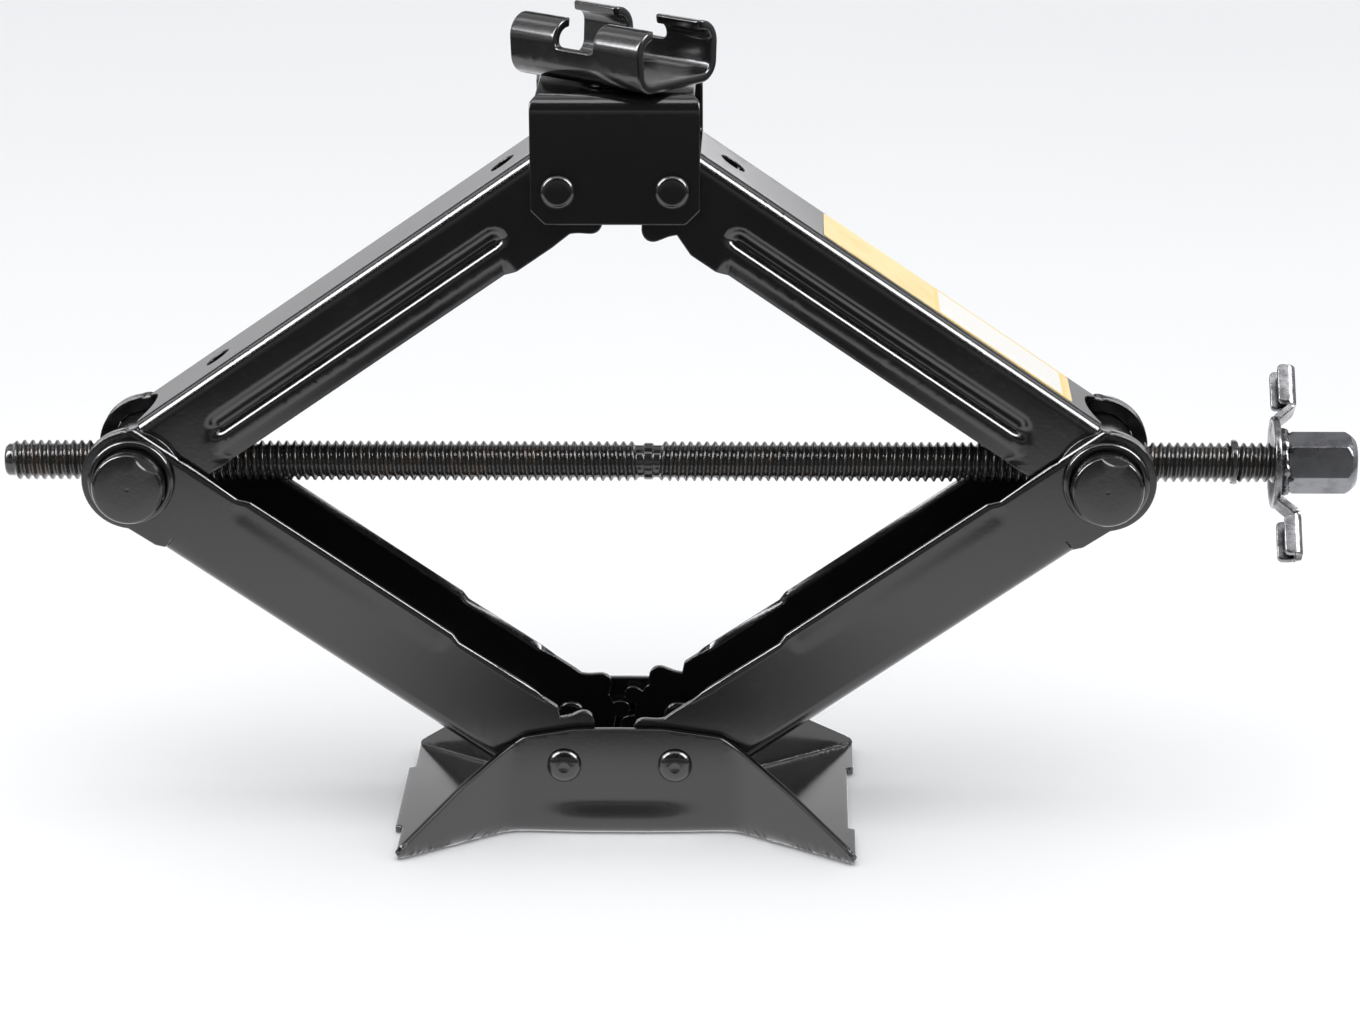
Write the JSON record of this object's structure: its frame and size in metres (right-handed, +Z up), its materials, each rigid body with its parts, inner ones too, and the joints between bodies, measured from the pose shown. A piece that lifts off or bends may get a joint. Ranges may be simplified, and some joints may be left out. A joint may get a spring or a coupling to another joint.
{
  "type": "scissor stabilizer jack",
  "caption": "Screw-driven scissor jack: folded sheet base, geared channel arms, cross trunnions, drive screw with hex end, and a swivelling notched saddle.",
  "frame": {"origin": "middle of the base plate's underside, on the ground", "axes": "+X along the screw towards the drive hex, +Y to the back of the jack, +Z up"},
  "size_m": [0.4261, 0.1092, 0.2589],
  "materials": {
    "black_paint": "semi-gloss black powder coat",
    "black_screw": "glossy black over cut thread",
    "bright_steel": "bright zinc plate",
    "dark_nickel": "dark nickel plate",
    "label_film": "satin printed film, left blank"
  },
  "bodies": {
    "base": {"base_plate": "black_paint", "base_rivet_front_left": "black_paint", "base_rivet_front_right": "black_paint", "base_rivet_back_left": "black_paint", "base_rivet_back_right": "black_paint"},
    "lower_arm_left": {"lower_arm_left": "black_paint"},
    "lower_arm_right": {"lower_arm_right": "black_paint"},
    "upper_arm_left": {"upper_arm_left": "black_paint"},
    "upper_arm_right": {"upper_arm_right": "black_paint", "blank_label": "label_film"},
    "trunnion_left": {"trunnion_left": "black_paint", "knuckle_washer_front_left": "black_paint", "knuckle_washer_back_left": "black_paint"},
    "trunnion_right": {"trunnion_right": "black_paint", "knuckle_washer_front_right": "black_paint", "knuckle_washer_back_right": "black_paint"},
    "stop_collar": {"stop_collar": "black_screw"},
    "screw": {"screw_rod": "black_screw", "lug_plate": "bright_steel", "drive_hex": "dark_nickel"},
    "top_bracket": {"top_bracket": "black_paint", "top_rivet_front_left": "black_paint", "top_rivet_front_right": "black_paint", "top_rivet_back_left": "black_paint", "top_rivet_back_right": "black_paint", "saddle_washer": "black_paint"},
    "saddle": {"saddle": "black_paint", "swivel_rivet": "black_paint"}
  },
  "joints": [
    {"name": "lift", "type": "hinge", "parent": "base", "child": "lower_arm_left", "pos_m": [-0.0175, 0, 0.023], "axis": [0, 1, 0], "range_deg": [-29.1, 33.4]},
    {"name": "base_pivot_right", "type": "hinge", "parent": "base", "child": "lower_arm_right", "pos_m": [0.0175, 0, 0.023], "axis": [0, 1, 0], "range_deg": [-33.4, 29.1]},
    {"name": "knuckle_left", "type": "hinge", "parent": "lower_arm_left", "child": "upper_arm_left", "pos_m": [-0.15167, 0, 0.11556], "axis": [0, 1, 0], "range_deg": [-66.8, 58.2]},
    {"name": "knuckle_right", "type": "hinge", "parent": "lower_arm_right", "child": "upper_arm_right", "pos_m": [0.15167, 0, 0.11556], "axis": [0, 1, 0], "range_deg": [-58.2, 66.8]},
    {"name": "top_pivot_left", "type": "hinge", "parent": "upper_arm_left", "child": "top_bracket", "pos_m": [-0.0175, 0, 0.20812], "axis": [0, 1, 0], "range_deg": [-29.1, 33.4]},
    {"name": "trunnion_turn_left", "type": "hinge", "parent": "lower_arm_left", "child": "trunnion_left", "pos_m": [-0.15167, 0, 0.11556], "axis": [0, 1, 0], "range_deg": [-33.4, 29.1]},
    {"name": "trunnion_turn_right", "type": "hinge", "parent": "lower_arm_right", "child": "trunnion_right", "pos_m": [0.15167, 0, 0.11556], "axis": [0, 1, 0], "range_deg": [-29.1, 33.4]},
    {"name": "screw_travel", "type": "slide", "parent": "trunnion_right", "child": "stop_collar", "axis": [1, 0, 0], "range_m": [-0.0282, 0.0323]},
    {"name": "screw_spin", "type": "hinge", "parent": "stop_collar", "child": "screw", "pos_m": [0.1932, 0, 0.11556], "axis": [1, 0, 0], "range_deg": [-4572, 3984]},
    {"name": "saddle_swivel", "type": "hinge", "parent": "top_bracket", "child": "saddle", "pos_m": [0, 0, 0.2393], "axis": [0, 0, 1], "continuous": true}
  ],
  "couplings": [
    {"joint": "base_pivot_right", "follows": "lift", "ratio": -1},
    {"joint": "knuckle_left", "follows": "lift", "ratio": -2},
    {"joint": "knuckle_right", "follows": "lift", "ratio": 2},
    {"joint": "top_pivot_left", "follows": "lift", "ratio": 1},
    {"joint": "trunnion_turn_left", "follows": "lift", "ratio": -1},
    {"joint": "trunnion_turn_right", "follows": "lift", "ratio": 1},
    {"joint": "screw_travel", "follows": "lift", "m_per_rad": 0.0553},
    {"joint": "screw_spin", "follows": "lift", "ratio": -136.8}
  ]
}
